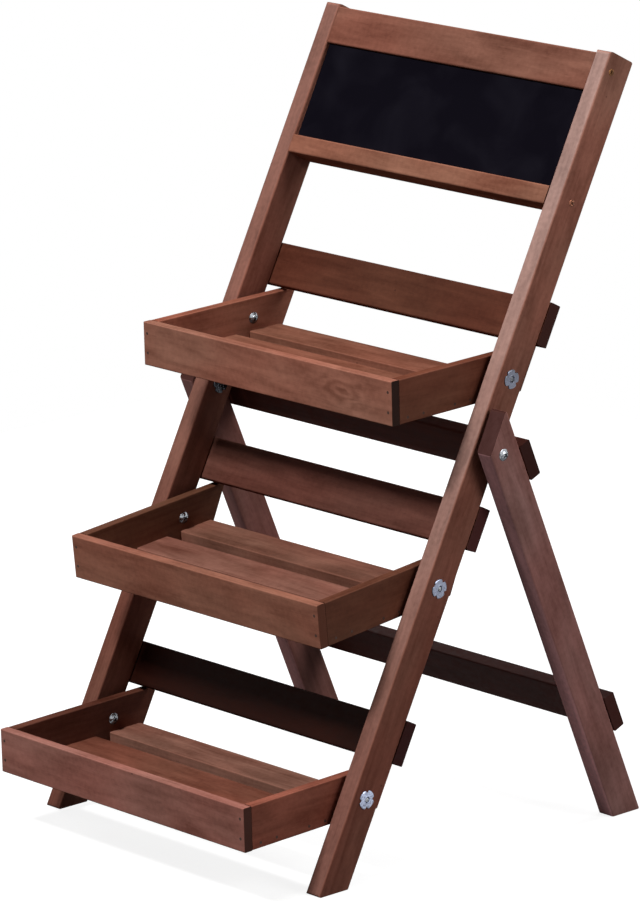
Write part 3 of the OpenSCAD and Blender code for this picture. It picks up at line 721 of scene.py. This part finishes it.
# In millimetres: the outline of a star nut is drawn in them
NUT_R = 10.8
NUT_T = 1.5
LIP_R = 4.6
BARREL_R = 4
BARREL_LEN = 9
BORE_R = 3.05
PRONG_SIZE = (1.2, 3.0, 8.0)
PRONG_IN = 2.9
PRONG_DOWN = 3.0
PRONG_ROUND = 0.4
NOTCH_DEEP = 2.6 * MM
NOTCH_HALF = math.radians(15)
STILE_IN_X = 208 * MM


def star_nut():
    """A star nut along z: its plate lies on z = 0 and its barrel goes down into the wood."""
    bm = bmesh.new()
    plate = [(NUT_R - 0.4, 0), (NUT_R, 0.35), (NUT_R, 0.9), (NUT_R - 0.45, 1.3), (NUT_R - 1.6, NUT_T)]
    lip = [(LIP_R + 1.2, NUT_T), (LIP_R, NUT_T + 0.35)]
    lip += [(LIP_R - 0.35, NUT_T + 0.75), (LIP_R - 0.9, NUT_T + 0.7)]
    bore = [(BORE_R + 0.25, NUT_T + 0.2), (BORE_R, NUT_T - 0.2), (BORE_R, -BARREL_LEN)]
    outline = plate + lip + bore + [(BARREL_R, -BARREL_LEN), (BARREL_R, 0)]
    lathe(bm, outline + outline[:1], 96)
    for vert in bm.verts:
        radius = math.hypot(vert.co.x, vert.co.y)
        angle = math.atan2(vert.co.y, vert.co.x)
        off = abs((angle + math.pi / 4) % (math.pi / 2) - math.pi / 4)
        if radius > (NUT_R - 2) * MM and off < NOTCH_HALF:
            sink = NOTCH_DEEP * (0.5 + 0.5 * math.cos(math.pi * off / NOTCH_HALF)) ** 0.6
            vert.co.xy *= (radius - sink) / radius
    for turn in range(4):
        prong = bmesh.ops.create_cube(bm, size=MM)["verts"]
        bmesh.ops.scale(bm, vec=PRONG_SIZE, verts=prong)
        bmesh.ops.translate(bm, vec=((NUT_R - PRONG_IN) * MM, 0, -PRONG_DOWN * MM), verts=prong)
        bmesh.ops.rotate(bm, cent=(0, 0, 0), matrix=Matrix.Rotation(turn * math.pi / 2, 3, "Z"), verts=prong)
        edges = list({e for v in prong for e in v.link_edges})
        rounding = {"affect": "EDGES", "offset": PRONG_ROUND * MM, "segments": 3}
        bmesh.ops.bevel(bm, geom=edges, profile=0.5, material=-1, **rounding)
    return bm


# How far each tray nut is turned, in degrees, from the top right one down
NUT_TURNS = [-40, 12, -35, 65, -4, 33]
# The nuts outside the stiles turn from bluish to dim with height, a painted dark reflection, and those
# inside the stiles are dark with painted shade
NUT_ZINC = "#b3bdd6"
NUT_ZINC_SHADE_AND_SPOTS = "#6d7180"
NUT_DIM = "#5f6168"
NUT_SHADED_DARK = "#202124"
NUT_BLUE_BELOW = 120 * MM
NUT_DIM_ABOVE = 520 * MM
NUT_ROUGH = 0.3
INNER_NUT_ROUGH = 0.25
nut_dim = (NUT_BLUE_BELOW, NUT_DIM_ABOVE, NUT_DIM)
nut_zinc = zinc_plate("nut_zinc_plated_steel", NUT_ZINC, NUT_ZINC_SHADE_AND_SPOTS, NUT_ROUGH, nut_dim)
shaded_zinc = zinc_plate("shaded_zinc_plated_steel", NUT_DIM, NUT_SHADED_DARK, INNER_NUT_ROUGH)
places = []
for tray in TRAY_TILTS:
    for side in (ACROSS, -ACROSS):
        places.append(facing(pivots[tray + "_fold"] + side * STILE_OUT_X, side, NUT_TURNS[len(places)]))
tray_nuts = piece_of("tray_star_nuts", star_nut(), places, nut_zinc)
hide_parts("tray_nuts")
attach(tray_nuts, "ladder_frame")

places = [facing(pivots["leg_fold"] + side * STILE_IN_X, -side, 25) for side in (ACROSS, -ACROSS)]
pivot_nuts = piece_of("pivot_star_nuts", star_nut(), places, shaded_zinc)
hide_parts("pivot_nuts")
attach(pivot_nuts, "ladder_frame")

for name in ("tray_washers", "pivot_washers"):
    finish(name, bright_zinc)


# Floor.
# A plain pale studio floor. The camera sees it white with the stand's soft shadow on it,
# and it throws only a little light back at the stand.

FLOOR_HALF = 1.6
FLOOR_UNDER = 0.5 * MM
# What the floor throws back at the stand, and what the camera sees: its own paint and glow
FLOOR_GREY = 0.12
FLOOR_PALE = 0.3
FLOOR_GLOW = 0.87


def seen_directly(tree):
    """1 for what the camera sees, also in a gloss or through glass, and 0 for what lights others."""
    path = add(tree, "LightPath").outputs
    seen = {0: path["Is Camera Ray"], 1: path["Is Glossy Ray"]}
    seen = add(tree, "Math", seen, operation="MAXIMUM").outputs[0]
    return add(tree, "Math", {0: seen, 1: path["Is Transmission Ray"]}, operation="MAXIMUM").outputs[0]


bm = bmesh.new()
bmesh.ops.create_grid(bm, x_segments=1, y_segments=1, size=FLOOR_HALF)
floor_mesh = bpy.data.meshes.new("floor")
bm.to_mesh(floor_mesh)
bm.free()
floor = bpy.data.objects.new("floor", floor_mesh)
floor.location.z = -FLOOR_UNDER
bpy.context.scene.collection.objects.link(floor)

floor_paint = bpy.data.materials.new("floor_paint")
floor_paint.use_nodes = True
tree = floor_paint.node_tree
tree.nodes.clear()
grey = add(tree, "BsdfDiffuse", {"Color": (FLOOR_GREY, FLOOR_GREY, FLOOR_GREY, 1)})
pale = add(tree, "BsdfDiffuse", {"Color": (FLOOR_PALE, FLOOR_PALE, FLOOR_PALE, 1)})
glow = add(tree, "Emission", {"Color": (1, 1, 1, 1), "Strength": FLOOR_GLOW})
white = add(tree, "AddShader", {0: pale.outputs[0], 1: glow.outputs[0]})
both = add(tree, "MixShader", {0: seen_directly(tree), 1: grey.outputs[0], 2: white.outputs[0]})
add(tree, "OutputMaterial", {"Surface": both.outputs[0]})
floor_mesh.materials.append(floor_paint)


# Light.
# One soft key light high over the front, whose shadows fall on the crossbars under the trays,
# and weaker fills at both sides and behind, as in a product studio.

TARGET = Vector((0, 0, 0.45))
# Name: (direction from the stand, distance in metres, side in metres, and the brightness of a
# white card that faces it from there)
SOFTBOXES = {
    "over_front": ((-0.02, -0.64, 0.76), 3.0, 0.4, 0.95),
    "overhead": ((0.1, 0.3, 0.95), 2.6, 0.8, 0.4),
    "right_rear": ((0.87, 0.28, 0.4), 2.4, 1.0, 0.42),
    "left_rear": ((-0.87, 0.3, 0.35), 2.4, 1.0, 0.25),
    "rear": ((-0.2, 0.85, 0.5), 2.6, 1.4, 0.25),
}
# The studio is white to the camera, and this bright to the stand
AMBIENT = 0.015

for name, (way, distance, side, level) in SOFTBOXES.items():
    light = bpy.data.lights.new(name, "AREA")
    light.shape = "SQUARE"
    light.size = side
    light.energy = level * (math.pi * distance) ** 2
    lamp = bpy.data.objects.new(name, light)
    way = Vector(way).normalized()
    lamp.location = TARGET + way * distance
    lamp.rotation_euler = way.to_track_quat("Z", "Y").to_euler()
    bpy.context.scene.collection.objects.link(lamp)

world = bpy.data.worlds.new("studio")
bpy.context.scene.world = world
world.use_nodes = True
tree = world.node_tree
tree.nodes.clear()
dim = add(tree, "Background", {"Color": (1, 1, 1, 1), "Strength": AMBIENT})
white = add(tree, "Background", {"Color": (1, 1, 1, 1), "Strength": 1.0})
both = add(tree, "MixShader", {0: seen_directly(tree), 1: dim.outputs[0], 2: white.outputs[0]})
add(tree, "OutputWorld", {"Surface": both.outputs[0]})


# Camera.
# It stands to the right of the front, about 1.6 m over the middle of the stand, with the
# long lens that the photograph's flat perspective asks for.

CAMERA_AT = Vector((4.50014, -4.19835, 2.01681))
CAMERA_YAW = math.radians(46.8423)
CAMERA_PITCH = math.radians(-14.4705)
CAMERA_ROLL = math.radians(-0.3961)
CAMERA_LENS = 316.535

camera_data = bpy.data.cameras.new("camera")
camera_data.lens = CAMERA_LENS
camera_data.sensor_width = 36
camera_data.sensor_fit = "HORIZONTAL"
camera = bpy.data.objects.new("camera", camera_data)
level = Matrix.Rotation(math.pi / 2 + CAMERA_PITCH, 4, "X") @ Matrix.Rotation(CAMERA_ROLL, 4, "Z")
camera.matrix_world = Matrix.Translation(CAMERA_AT) @ Matrix.Rotation(CAMERA_YAW, 4, "Z") @ level
bpy.context.scene.collection.objects.link(camera)
bpy.context.scene.camera = camera
bpy.context.scene.view_settings.view_transform = "Standard"
